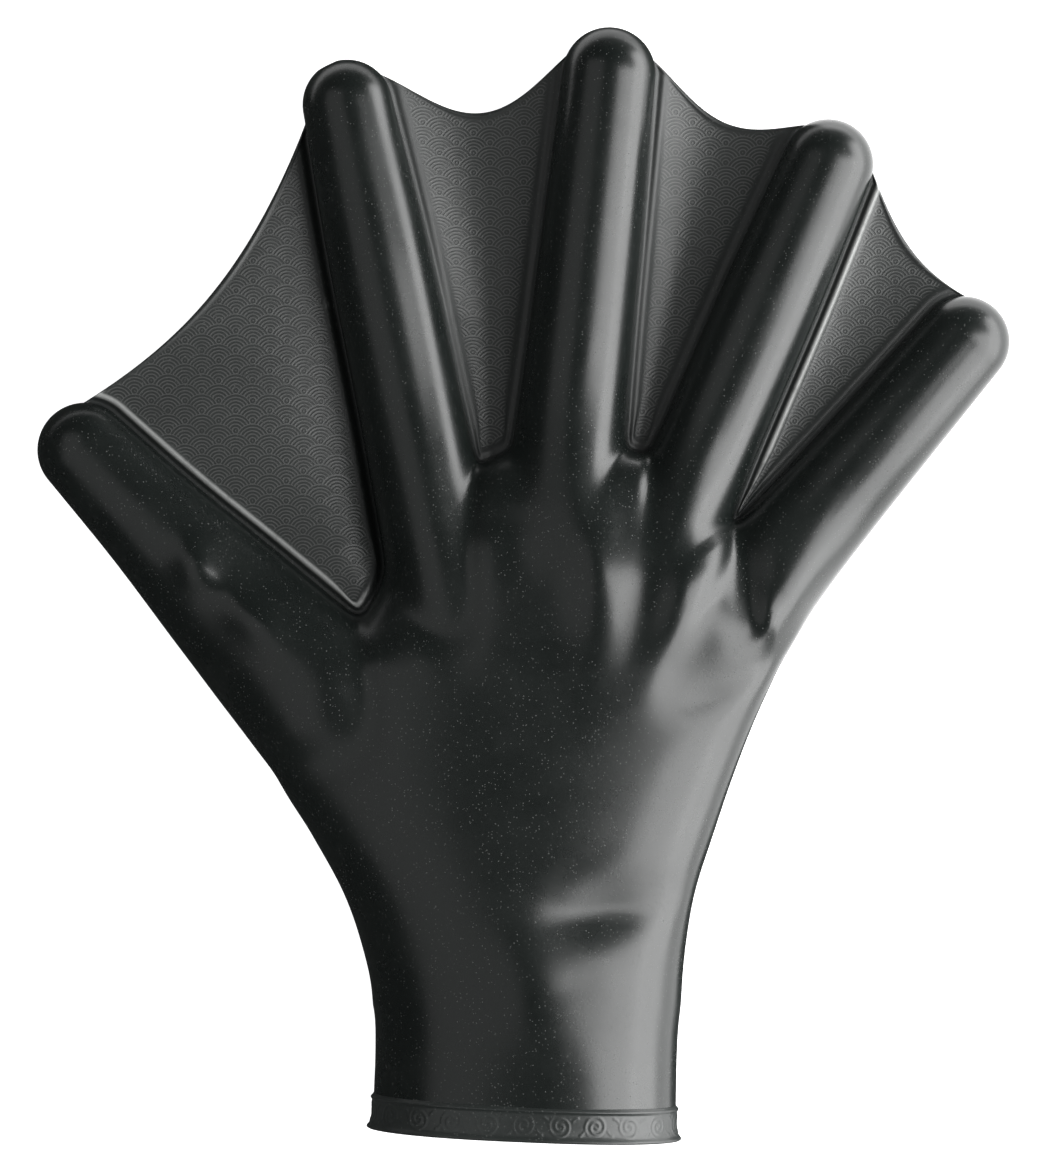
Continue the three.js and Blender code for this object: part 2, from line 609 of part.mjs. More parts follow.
// Cuff band: a thicker ring that ends the cuff, bounded by a bead above and a slight flare at the rim.
// in is the distance from the rim as a share of BAND_WIDTH, proud a share of the band's extra thickness.
const BAND_ROWS = [
  { in: 1, proud: 0.3, flare: 0 },
  { in: 0.93, proud: 1, flare: 0 },
  { in: 0.84, proud: 0.4, flare: 0 },
  { in: 0.12, proud: 0.4, flare: 0.6 },
  { in: 0.05, proud: 1, flare: 0.9 },
  { in: 0, proud: 0.7, flare: 1 },
];
const bandFaces = new Faces();
const turns = 40;
const tilt = Math.tan(CUFF_SKEW * Math.PI / 180);
function bandRing(inset, grow, floor) {
  const ring = [];
  const y0 = -CUFF_LENGTH + inset;
  const form = palmForm(0, y0, 0);
  const centre = (form.left + form.right) / 2;
  const halfWidth = (form.right - form.left) / 2 + grow;
  const halfDepth = form.halfDepth + grow;
  for (let k = 0; k < turns; k += 1) {
    const angle = Math.PI * 2 * k / turns;
    const c = Math.cos(angle);
    const x = centre + halfWidth * Math.sign(c) * Math.abs(c) ** (2 / PALM_ROUND);
    const z = form.halfDepth - SEAT_DEPTH + halfDepth * Math.sin(angle);
    ring.push([x, y0 - tilt * x, Math.max(z, floor)]);
  }
  return ring;
}
const extra = BAND_WALL - SKIN_WALL;
const outerRings = BAND_ROWS.map((row) => bandRing(row.in * BAND_WIDTH, row.proud * extra + row.flare * BAND_FLARE, 0));
const innerRings = [BAND_ROWS[0], BAND_ROWS[3], BAND_ROWS[5]].map((row) => (
  bandRing(row.in * BAND_WIDTH, row.flare * BAND_FLARE - SKIN_WALL, SKIN_WALL)
));
const rings = [...outerRings, ...innerRings.reverse()];
rings.forEach((ring, r) => {
  const next = rings[(r + 1) % rings.length];
  for (let k = 0; k < turns; k += 1) {
    const n = (k + 1) % turns;
    bandFaces.quad(ring[k], ring[n], next[n], next[k]);
  }
});
piece('cuff_band', bandFaces.geometry(), RUBBER);

// The middle of the box's foot becomes the origin
const box = new THREE.Box3().setFromObject(group);
const foot = new THREE.Vector3((box.min.x + box.max.x) / 2, (box.min.y + box.max.y) / 2, box.min.z);
group.children.forEach((mesh) => mesh.geometry.translate(-foot.x, -foot.y, -foot.z));

export default group;
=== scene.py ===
import math
import bpy
import numpy as np
from mathutils import Matrix, Vector


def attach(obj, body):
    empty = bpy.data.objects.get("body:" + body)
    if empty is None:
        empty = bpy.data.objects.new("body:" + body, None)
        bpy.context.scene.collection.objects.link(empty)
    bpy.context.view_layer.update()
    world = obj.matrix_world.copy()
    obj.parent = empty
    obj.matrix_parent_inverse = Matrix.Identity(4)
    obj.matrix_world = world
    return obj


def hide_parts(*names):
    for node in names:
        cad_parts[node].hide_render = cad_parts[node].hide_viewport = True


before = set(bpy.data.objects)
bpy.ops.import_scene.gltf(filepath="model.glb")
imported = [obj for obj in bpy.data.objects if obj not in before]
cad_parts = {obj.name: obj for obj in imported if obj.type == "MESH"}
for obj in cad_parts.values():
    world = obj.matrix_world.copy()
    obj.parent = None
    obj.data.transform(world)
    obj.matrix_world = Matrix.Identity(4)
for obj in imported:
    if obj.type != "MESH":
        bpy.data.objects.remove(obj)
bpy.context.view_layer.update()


# Glove skin
# The real skin is one coat of black rubber, dipped over a hand former: a palm, a cuff and five round stalls
# that flow into each other. It is 1.5 mm thick, glossy, and a little dusty.
# Lengths are in millimetres from the middle of the wrist until a mesh is made.
WRIST_IN_ROW = (0.939, -91.023)
PALM_LENGTH = 98.0
PALM_WIDTH = 102.0
PALM_DEPTH = 32.0
WRIST_WIDTH = 65.8
CUFF_LENGTH = 28.0
CUFF_TILT = math.tan(math.radians(2.4))
STALL_LENGTH = 114.0
STALL_WIDTH = 22.0
STALL_DEPTH = 18.5
SKIN_WALL = 1.5
# How far the round underside is pressed flat on the floor, and the width of the ring that ends the cuff
SEAT_DEPTH = 0.75
BAND_WIDTH = 7.3
# How sharply the palm and the digits join, and how far a digit's form reaches into the palm as a share of it
BLEND = 9.0
FADE = 0.36
HALVINGS = 34
# Name, knuckle across and up as shares of the palm, length as a share of the longest stall, lean in degrees,
# then widths and depths at each of DIGIT_STATIONS, as shares of STALL_WIDTH and STALL_DEPTH
DIGITS = [
    ("thumb", -0.452, 0.689, 0.725, -44.0, (0.936, 1.1, 1.38, 1.62, 1.64), (0.93, 1.05, 1.2, 1.53, 1.55)),
    ("index", -0.174, 0.927, 1.016, -11.7, (0.89, 1.0, 1.03, 1.11, 1.12), (0.9, 1.0, 1.1, 1.43, 1.45)),
    ("middle", 0.063, 1.001, 1.0, 6.2, (0.92, 0.98, 1.05, 1.18, 1.19), (0.92, 1.0, 1.1, 1.48, 1.5)),
    ("ring", 0.255, 0.924, 0.957, 23.3, (0.9, 0.97, 0.98, 1.04, 1.05), (0.9, 1.0, 1.08, 1.43, 1.45)),
    ("little", 0.418, 0.837, 0.792, 40.5, (0.9, 0.97, 1.07, 1.23, 1.25), (0.88, 0.98, 1.06, 1.38, 1.4)),
]
# 0 where the round tip begins, 1 at the knuckle
DIGIT_STATIONS = np.array([0.0, 0.3, 0.65, 1.0, 1.25])
# Along: -1 at the rim, 0 at the wrist, 1 at the middle knuckle; how far the thumb side and the little side
# stand out past the wrist; depth as a share of PALM_DEPTH
SECTIONS = np.array([
    (-1.4, 0.02, -0.03, 1.2),
    (-1.0, 0.02, -0.03, 1.2),
    (-0.3, 0.0, -0.02, 1.2),
    (0.02, 0.02, 0.005, 1.19),
    (0.14, 0.09, 0.035, 1.15),
    (0.25, 0.2, 0.09, 1.11),
    (0.37, 0.38, 0.195, 1.06),
    (0.49, 0.57, 0.305, 1.03),
    (0.61, 0.625, 0.43, 1.0),
    (0.735, 0.46, 0.58, 0.97),
    (0.84, 0.11, 0.69, 0.93),
    (0.96, -0.08, 0.61, 0.88),
    (1.06, -0.2, 0.36, 0.84),
])
# Where the palm begins to round off under the knuckles and the length of that, as shares of its length, and
# the power of its oval plan
PALM_END = 0.92
PALM_CAP = 0.31
PALM_ROUND = 2.4
# Four ridges at the knuckles, the valley between the last two and a small rise in it, the crease and the
# swell of the wrist, and two swellings on the thumb: x as a share of the palm's width, y as a share of its
# length, lean in degrees, half length and half width as shares of its length, lift as a share of its depth
FOLDS = [
    (-0.09, 1.0, -8, 0.09, 0.05, 0.025),
    (0.145, 0.99, -4, 0.19, 0.065, 0.075),
    (0.33, 0.92, 4, 0.2, 0.06, 0.05),
    (0.56, 0.9, 30, 0.16, 0.05, 0.05),
    (0.46, 0.93, -3, 0.13, 0.045, -0.07),
    (0.505, 0.86, -14, 0.06, 0.025, 0.025),
    (0.17, 0.225, 82, 0.14, 0.07, -0.08),
    (0.015, 0.03, -15, 0.16, 0.09, 0.045),
    (-0.7, 0.96, -20, 0.055, 0.045, 0.06),
    (-0.57, 0.84, -55, 0.09, 0.045, 0.06),
]


def through_rows(at, places, values):
    """A smooth curve through a table's rows: a cubic from each row to the next, whose slope at a row is that
    of the chord between its neighbours."""
    places = np.asarray(places, float)
    values = np.asarray(values, float)
    before = np.maximum(np.arange(len(places)) - 1, 0)
    after = np.minimum(np.arange(len(places)) + 1, len(places) - 1)
    slopes = (values[after] - values[before]) / (places[after] - places[before])
    i = np.clip(np.searchsorted(places[1:], at), 0, len(places) - 2)
    step = places[i + 1] - places[i]
    q = np.clip((at - places[i]) / step, 0, 1)
    rise = (1 + 2 * q) * (1 - q) ** 2 * values[i] + q * (1 - q) ** 2 * step * slopes[i]
    return rise + q * q * (3 - 2 * q) * values[i + 1] + q * q * (q - 1) * step * slopes[i + 1]


def ray(i):
    """A digit's knuckle, the way it points, the way across it, its length and the length of its round tip."""
    _, knee_x, knee_y, long, lean, wide, _ = DIGITS[i]
    turn = math.radians(lean)
    knee = np.array([knee_x * PALM_WIDTH, knee_y * PALM_LENGTH])
    up = np.array([math.sin(turn), math.cos(turn)])
    side = np.array([math.cos(turn), -math.sin(turn)])
    return knee, up, side, long * STALL_LENGTH, wide[0] * STALL_WIDTH / 2


def forms_at(p, grow):
    """The rounded forms over points of the plan. Each is one minus the squared distance from its middle line
    as a share of its half width, less what lies past its ends. Also each form's half depth."""
    flats = []
    depths = []
    for i, digit in enumerate(DIGITS):
        knee, up, side, length, cap = ray(i)
        along = (p - knee) @ up
        across = (p - knee) @ side
        q = 1 - along / (length - cap)
        half_width = through_rows(q, DIGIT_STATIONS, digit[5]) * STALL_WIDTH / 2 + grow
        half_depth = through_rows(q, DIGIT_STATIONS, digit[6]) * STALL_DEPTH / 2 + grow
        over = np.maximum(along - (length - cap), 0) / (cap + grow)
        under = np.maximum(-along, 0) / (FADE * PALM_LENGTH)
        flats.append(1 - (across / half_width) ** 2 - over ** 2 - under ** 2)
        depths.append(half_depth)
    y = p[..., 1]
    along = np.where(y >= 0, y / PALM_LENGTH, y / CUFF_LENGTH)
    spare = PALM_WIDTH - WRIST_WIDTH
    left = -WRIST_WIDTH / 2 - spare * through_rows(along, SECTIONS[:, 0], SECTIONS[:, 1])
    right = WRIST_WIDTH / 2 + spare * through_rows(along, SECTIONS[:, 0], SECTIONS[:, 2])
    over = np.maximum(along - PALM_END, 0) / (PALM_CAP + grow / PALM_LENGTH)
    across = np.abs((p[..., 0] - (left + right) / 2) / ((right - left) / 2 + grow))
    flats.append(1 - across ** PALM_ROUND - over ** 2)
    depths.append(through_rows(along, SECTIONS[:, 0], SECTIONS[:, 3]) * PALM_DEPTH / 2 + grow)
    return np.array(flats), np.array(depths)


def blended(flats, depths, z):
    """The forms joined by a soft maximum, at a height z from the middle of the skin: above zero inside."""
    values = flats - (z / depths) ** 2
    most = values.max(axis=0)
    return most + np.log(np.exp(BLEND * (values - most)).sum(axis=0)) / BLEND


def inside(p, grow):
    """Above zero where a point of the plan lies within the hand's outline, grown by that much."""
    flats, depths = forms_at(p, grow)
    return blended(flats, depths, 0.0)


def middle_height(p):
    """Height of the middle of the skin over the floor: the half depths, weighted as the blend weights the
    forms, less the flat seat."""
    flats, depths = forms_at(p, 0.0)
    share = np.exp(BLEND * (flats - flats.max(axis=0)))
    return (share * depths).sum(axis=0) / share.sum(axis=0) - SEAT_DEPTH


def half_thickness(p, grow):
    """Half the skin's thickness over points of the plan, found by halving: zero at the outline."""
    flats, depths = forms_at(p, grow)
    low = np.zeros(p.shape[:-1])
    high = np.full(p.shape[:-1], PALM_DEPTH)
    for _ in range(HALVINGS):
        z = (low + high) / 2
        within = blended(flats, depths, z) > 0
        low = np.where(within, z, low)
        high = np.where(within, high, z)
    return low


def fold_height(p):
    """Soft ridges and dents on the back of the hand: the sum of long rounded hills, below zero for a dent."""
    total = np.zeros(p.shape[:-1])
    for x, y, lean, long, wide, lift in FOLDS:
        turn = math.radians(lean)
        d = p - np.array([x * PALM_WIDTH, y * PALM_LENGTH])
        along = (d[..., 0] * math.sin(turn) + d[..., 1] * math.cos(turn)) / (long * PALM_LENGTH)
        across = (d[..., 0] * math.cos(turn) - d[..., 1] * math.sin(turn)) / (wide * PALM_LENGTH)
        total = total + lift * PALM_DEPTH * np.exp(-along ** 2 - across ** 2)
    return total


def border(start, end, grow):
    """Where the way from points inside to points outside crosses the outline, found by halving."""
    start, end = np.broadcast_arrays(np.asarray(start, float), np.asarray(end, float))
    low = np.zeros(start.shape[:-1])
    high = np.ones(start.shape[:-1])
    for _ in range(HALVINGS):
        t = (low + high) / 2
        within = inside(start + (end - start) * t[..., None], grow) > 0
        low = np.where(within, t, low)
        high = np.where(within, high, t)
    return start + (end - start) * low[..., None]


def on_ray(i, along):
    """Points of a digit's middle line, by their distance from its knuckle."""
    knee, up, _, _, _ = ray(i)
    return knee + np.asarray(along, float)[..., None] * up


def along_ray(i, p):
    """Distance from a digit's knuckle along its middle line."""
    knee, up, _, _, _ = ray(i)
    return (p - knee) @ up


def outer_border(i, sign, points, grow):
    """The hand's outer border square to a digit from points of its middle line."""
    return border(points, points + sign * PALM_WIDTH / 2 * ray(i)[2], grow)


def crotches(grow):
    """The four crotches, each the lowest point of its curve as seen square to the line of its neighbours,
    and the direction that halves the angle between the two digits."""
    below_knuckles = 20.0
    beside = np.arange(-STALL_WIDTH / 4, STALL_WIDTH / 4 + 0.01, 0.05)
    ups = []
    curves = []
    for i in range(4):
        knee_a, up_a = ray(i)[:2]
        knee_b, up_b = ray(i + 1)[:2]
        up = (up_a + up_b) / np.linalg.norm(up_a + up_b)
        start = (knee_a + knee_b) / 2 - below_knuckles * up + beside[:, None] * np.array([up[1], -up[0]])
        reach = np.arange(0, STALL_LENGTH, 1.0)
        within = inside(start[:, None] + reach[:, None] * up, grow) > 0
        first_out = np.where(within.all(axis=1), len(reach) - 1, np.argmin(within, axis=1))
        curves.append(border(start + (first_out - 1)[:, None] * up, start + first_out[:, None] * up, grow))
        ups.append(up)
    middle = len(beside) // 2
    first = outer_border(0, -1, on_ray(0, along_ray(0, curves[0][middle])), grow)
    last = outer_border(4, 1, on_ray(4, along_ray(4, curves[3][middle])), grow)
    line = [first] + [curve[middle] for curve in curves] + [last]
    best = []
    for i, curve in enumerate(curves):
        along = line[i + 2] - line[i]
        best.append(curve[np.argmin(curve[:, 1] * along[0] - curve[:, 0] * along[1])])
    return np.array(best), np.array(ups)


def hand_plan(grow, inset, cells, digit_rows, palm_rows):
    """The plan of the hand as rows of points: a grid for each digit, from its root to its tip, and one for
    the palm, from the roots to the cuff. Points lie across a row as the cosine of equal angles. Rows rise as
    the sine of a growing angle, which crowds them in the round tip, and the palm's first row, which runs
    from root to root, fades into a straight one at the cuff."""
    forks, ups = crotches(grow)
    first = outer_border(0, -1, on_ray(0, along_ray(0, forks[0])), grow)
    last = outer_border(4, 1, on_ray(4, along_ray(4, forks[3])), grow)
    roots = np.vstack([first, forks, last])
    around = (1 - np.cos(np.pi * np.arange(cells + 1) / cells)) / 2
    digits = []
    for i in range(5):
        length = ray(i)[3]
        low = (along_ray(i, roots[i]) + along_ray(i, roots[i + 1])) / 2
        # Each row ends on the way from its middle to a point above the crotch, which climbs with the rows
        t = np.arange(digit_rows + 1) / digit_rows
        rise = np.sin(np.pi / 2 * (0.3 * t * t + 0.7 * t)) ** 1.25
        axis = on_ray(i, low + (length + grow - 0.001 - low) * rise)
        far = ((length - low) * 1.05 * rise ** 1.6)[:, None]
        if i > 0:
            left = border(axis, forks[i - 1] + far * ups[i - 1], grow)
        else:
            left = outer_border(i, -1, axis, grow)
        if i < 4:
            right = border(axis, forks[i] + far * ups[i], grow)
        else:
            right = outer_border(i, 1, axis, grow)
        left[0], right[0] = roots[i], roots[i + 1]
        left[-1] = right[-1] = on_ray(i, length + grow)
        digits.append(left[:, None] + (right - left)[:, None] * around[:, None])
    top = np.vstack([rows[0][1 if i else 0:] for i, rows in enumerate(digits)])
    count = len(top) - 1
    # The palm's sides are found level with each row, and a row is its first row's shape between them
    ends_y = -CUFF_LENGTH + inset + np.array([1, -1]) * CUFF_TILT * WRIST_WIDTH / 2
    t = (np.arange(palm_rows + 1) / palm_rows) ** 1.6
    fade = (1 - t * t * (3 - 2 * t))[:, None]
    sides = []
    for k, corner in enumerate((top[0], top[-1])):
        y = corner[1] + (ends_y[k] - corner[1]) * t
        start = np.stack([np.zeros_like(y), y], axis=1)
        sides.append(border(start, start + np.array([(-1, 1)[k] * PALM_WIDTH, 0]), grow))
    chord = top[-1] - top[0]
    span = np.linalg.norm(chord)
    d = top - top[0]
    share_along = (d @ chord) / span ** 2
    share_off = (d[:, 1] * chord[0] - d[:, 0] * chord[1]) / span ** 2
    even = (1 - np.cos(np.pi * np.arange(count + 1) / count)) / 2
    a = share_along * fade + even * (1 - fade)
    b = share_off * fade
    across = sides[1] - sides[0]
    turned = np.stack([-across[:, 1], across[:, 0]], axis=1)
    palm = sides[0][:, None] + a[..., None] * across[:, None] + b[..., None] * turned[:, None]
    palm[0] = top
    return digits, palm


def grid_faces(number):
    """The four corners of every cell of a grid of numbered points."""
    corners = [number[:-1, :-1], number[:-1, 1:], number[1:, 1:], number[1:, :-1]]
    return np.stack(corners, axis=-1).reshape(-1, 4)


def skin_sheets(grow, inset, cells, digit_rows, palm_rows):
    """Vertices and faces of one surface of the skin. Each grid of the plan is lifted to the upper height and
    lowered to the under one, and both meet along the outline. Also the loop of vertices round the cuff."""
    digits, palm = hand_plan(grow, inset, cells, digit_rows, palm_rows)
    points = []
    faces = []
    loop = None
    for part, rows in enumerate(digits + [palm]):
        is_palm = part == 5
        middle = middle_height(rows)
        half = half_thickness(rows, grow)
        fold = fold_height(rows) * np.minimum(half / (PALM_DEPTH / 4), 1)
        high = np.maximum(middle + half + fold, -grow)
        low = np.maximum(middle - half, -grow)
        edge = np.zeros(rows.shape[:-1], bool)
        edge[:, 0] = edge[:, -1] = True
        if is_palm:
            edge[0, ::cells] = True
        else:
            edge[-1] = True
        middle = np.maximum(middle, -grow)
        high = np.where(edge, middle, high)
        low = np.where(edge, middle, low)
        count = rows.shape[0] * rows.shape[1]
        base = sum(len(group) for group in points)
        number = base + np.arange(count).reshape(rows.shape[:-1])
        for level, z in enumerate((high, low)):
            points.append(np.concatenate([rows, z[..., None]], axis=-1).reshape(-1, 3))
            quads = grid_faces(number + level * count)
            faces.append(quads[:, ::-1] if is_palm != (level == 1) else quads)
        if is_palm:
            loop = np.concatenate([number[-1], (number[-1] + count)[::-1][1:-1]])
    return np.vstack(points), np.vstack(faces), loop


def joined(points, faces):
    """Points that lie in one place made one, and faces that lost a corner made triangles or left out. Also
    the number that each kept point had before."""
    _, first, index = np.unique(np.round(points, 4), axis=0, return_index=True, return_inverse=True)
    corners = index.reshape(-1)[faces]
    differs = corners != np.roll(corners, 1, axis=1)
    count = differs.sum(axis=1)
    quads = corners[count == 4]
    triangles = corners[count == 3][differs[count == 3]].reshape(-1, 3)
    return points[first], quads.tolist() + triangles.tolist(), first


def new_object(name, points, faces, material):
    """A mesh in the frame's metres from millimetres, smooth all over, with its material, body and slot."""
    shifted = points + np.array([WRIST_IN_ROW[0], WRIST_IN_ROW[1], 0.0])
    mesh = bpy.data.meshes.new(name)
    mesh.from_pydata((shifted * 0.001).tolist(), [], faces)
    mesh.polygons.foreach_set("use_smooth", np.ones(len(mesh.polygons), bool))
    mesh.materials.append(material)
    made = bpy.data.objects.new(name, mesh)
    bpy.context.scene.collection.objects.link(made)
    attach(made, "root")
    return made


# The skin ends inside the band, at this distance from the rim
SKIN_INSET = BAND_WIDTH * 0.6
outer_points, outer_faces, outer_loop = skin_sheets(0.0, SKIN_INSET, 32, 72, 72)
inner_points, inner_faces, inner_loop = skin_sheets(-SKIN_WALL, SKIN_INSET, 32, 20, 20)
inner_loop = inner_loop + len(outer_points)
after_outer, after_inner = np.roll(outer_loop, -1), np.roll(inner_loop, -1)
rim_faces = np.stack([outer_loop, inner_loop, after_inner, after_outer], axis=-1)
skin_points, skin_faces, _ = joined(
    np.vstack([outer_points, inner_points]),
    np.vstack([outer_faces, inner_faces[:, ::-1] + len(outer_points), rim_faces]))


def add_node(tree, kind, inputs, **settings):
    """A shader node with its settings, each input either set to a value or fed by another node's socket."""
    made = tree.nodes.new("ShaderNode" + kind)
    for key, value in settings.items():
        setattr(made, key, value)
    for key, value in inputs.items():
        if isinstance(value, bpy.types.NodeSocket):
            tree.links.new(value, made.inputs[key])
        else:
            made.inputs[key].default_value = value
    return made


def reckon(tree, operation, *values):
    """The result of a math node on up to three values or sockets."""
    return add_node(tree, "Math", dict(enumerate(values)), operation=operation).outputs[0]


def blend_colours(tree, share, first, second):
    """A colour that goes from the first to the second with the share."""
    made = add_node(tree, "Mix", {0: share, 6: first, 7: second}, data_type="RGBA")
    return made.outputs[2]


def noise(tree, where, scale, detail, roughness):
    """A cloudy share around 0.5, with that many clouds to a metre."""
    look = {"Vector": where, "Scale": scale, "Detail": detail, "Roughness": roughness}
    return add_node(tree, "TexNoise", look).outputs["Fac"]


def rubber(name, colour, roughness):
    """Near-black dipped rubber: a dark base with cloudy mottling and specks of pale dust, a gloss that varies
    with both, and a bump of soft waves and fine grain. A speck is a cell whose middle is nearer than its lot
    allows. Returns the material, its tree, its shader, its colour, its bump and the bump's height in
    millimetres."""
    material = bpy.data.materials.new(name)
    material.use_nodes = True
    tree = material.node_tree
    shader = tree.nodes["Principled BSDF"]
    where = add_node(tree, "TexCoord", {}).outputs["Object"]
    clouds = noise(tree, where, 60.0, 5.0, 0.65)
    waves = noise(tree, where, 38.0, 1.5, 0.4)
    grain = noise(tree, where, 1500.0, 2.0, 0.6)
    # Cells to a metre, size of the largest speck as a share of its cell, and the share of cells left bare
    dust = 0.0
    for scale, size, rarity in ((640.0, 0.1, 0.6), (1500.0, 0.24, 0.35)):
        cells = add_node(tree, "TexVoronoi", {"Vector": where, "Scale": scale, "Randomness": 1.0})
        lot = add_node(tree, "SeparateColor", {"Color": cells.outputs["Color"]}).outputs[0]
        near = reckon(tree, "LESS_THAN", cells.outputs["Distance"], reckon(tree, "MULTIPLY", lot, size))
        speck = reckon(tree, "MULTIPLY", near, reckon(tree, "GREATER_THAN", lot, rarity))
        dust = reckon(tree, "MAXIMUM", dust, speck)
    pale = (0.2, 0.21, 0.2, 1)
    dark = (*(0.5 * c for c in colour), 1)
    light = (*(1.5 * c for c in colour), 1)
    patchy = reckon(tree, "MULTIPLY_ADD", grain, 0.5, reckon(tree, "MULTIPLY", clouds, 0.5))
    paint = blend_colours(tree, patchy, dark, light)
    paint = blend_colours(tree, reckon(tree, "MULTIPLY", dust, 0.22), paint, pale)
    tree.links.new(paint, shader.inputs["Base Color"])
    uneven = reckon(tree, "MULTIPLY_ADD", reckon(tree, "SUBTRACT", clouds, 0.5), 0.22, roughness)
    tree.links.new(reckon(tree, "MULTIPLY_ADD", dust, 0.3, uneven), shader.inputs["Roughness"])
    shader.inputs["IOR"].default_value = 1.52
    height = reckon(tree, "MULTIPLY_ADD", grain, 0.01, reckon(tree, "MULTIPLY", waves, 0.12))
    bump = add_node(tree, "Bump", {"Height": height, "Distance": 0.001, "Strength": 1.0})
    tree.links.new(bump.outputs["Normal"], shader.inputs["Normal"])
    return material, tree, shader, paint, bump, height


skin_rubber = rubber("skin_rubber", (0.0062, 0.0082, 0.0075), 0.28)[0]
glove_skin = new_object("glove_skin", skin_points, skin_faces, skin_rubber)
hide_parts("hand_body", "knuckles", "cuff_sleeve", "thumb_stall", "index_stall", "middle_stall",
            "ring_stall", "little_stall")


# Webs
# Four thin sheets of the same rubber, moulded in one with the stalls. Each sags a little, but the thumb's
# rises and then falls. It ends in a hollowed free edge with a fine bead, meets the digits with a groove and a
# raised, scuffed lip, and has rows of wave scales moulded in its upper side.
WEB_WALL = 1.4
WEB_SAG = 3.2
# The web's edges lie this far inside the outer face of the stalls' walls
WEB_ROOT = 0.8 * SKIN_WALL
# Height of the lip, depth of the groove and height of the bead, each with the distance of its middle from the
# wall or the free edge, and its half width
WEB_LIP, LIP_OFF_WALL, LIP_HALF_WIDTH = 0.7, 2.1, 0.75
WEB_GROOVE, GROOVE_OFF_WALL, GROOVE_HALF_WIDTH = 0.6, 0.6, 0.65
RIM_BEAD, BEAD_OFF_RIM, BEAD_HALF_WIDTH = 0.3, 0.8, 0.5
# Width of a wave scale, height from row to row, distance from ring to ring, and height of a ring
SCALE_WIDTH = 7.35
SCALE_PITCH = 4.35
RING_PITCH = 0.73
SCALE_RISE = 0.02
# Ends on the two digits as shares of their lengths, dip of the free edge as a share of the longest stall, its
# skew and its power, how strong the lip is along each digit, sag as a share of WEB_SAG, below zero for a
# rise, and how far the second end sits below its digit's middle, in the same shares
WEBS = [
    (0.973, 0.978, 0.083, 1.067, 0.863, 1.0, 0.45, -1.4, 1.5),
    (0.974, 0.973, 0.101, 1.095, 1.24, 0.25, 0.25, 1.7, 0.0),
    (0.974, 0.978, 0.061, 1.045, 1.34, 0.45, 0.25, 1.7, 0.0),
    (0.988, 0.98, 0.042, 1.02, 1.0, 1.0, 0.4, 0.6, 0.0),
]


def web_plan(k, forks, ups, rows, columns):
    """The plan of a web as rows of points from the crotch to the free edge. A row runs straight from one
    digit's wall to the next, and a skewed half wave, raised to a power, pulls it towards the crotch, more as
    the square of its share of the way up. Also the share of the way across."""
    end_a, end_b, dip, skew, power = WEBS[k][:5]
    rise = (1 - np.cos(np.pi * np.arange(rows + 1) / rows)) / 2
    low_a, low_b = along_ray(k, forks[k]), along_ray(k + 1, forks[k])
    axis_a = on_ray(k, low_a + (end_a * ray(k)[3] - low_a) * rise)
    axis_b = on_ray(k + 1, low_b + (end_b * ray(k + 1)[3] - low_b) * rise)
    height = ((axis_a[-1] + axis_b[-1]) / 2 - forks[k]) @ ups[k]
    clear = forks[k] + (height * rise)[:, None] * ups[k]
    edge_a = border(axis_a, clear, -WEB_ROOT)
    edge_b = border(axis_b, clear, -WEB_ROOT)
    edge_a[0] = edge_b[0] = forks[k]
    even = np.arange(columns + 1) / columns
    u = even - 0.85 * np.sin(2 * np.pi * even) / (2 * np.pi)
    pull = dip * STALL_LENGTH * np.maximum(np.sin(np.pi * u ** skew), 0) ** power * rise[:, None] ** 2
    return edge_a[:, None] + (edge_b - edge_a)[:, None] * u[:, None] - pull[..., None] * ups[k], u


def off_wall(p):
    """Distance of points of the plan from the digits' walls. A form whose value falls as the square of the
    distance from its middle line gives it exactly, from the value and its slope, and near a crotch it goes
    round the curve."""
    step = 0.01
    value = inside(p, 0.0)
    slope_x = (inside(p + np.array([step, 0]), 0.0) - value) / step
    slope_y = (inside(p + np.array([0, step]), 0.0) - value) / step
    root = np.sqrt(np.maximum(1 - value, 0.01))
    return 2 * root * (root - 1) / np.hypot(slope_x, slope_y)


def hill(at, middle, half_width):
    """A rounded rise: exp(-((at - middle) / half_width) ** 2)."""
    return np.exp(-((at - middle) / half_width) ** 2)


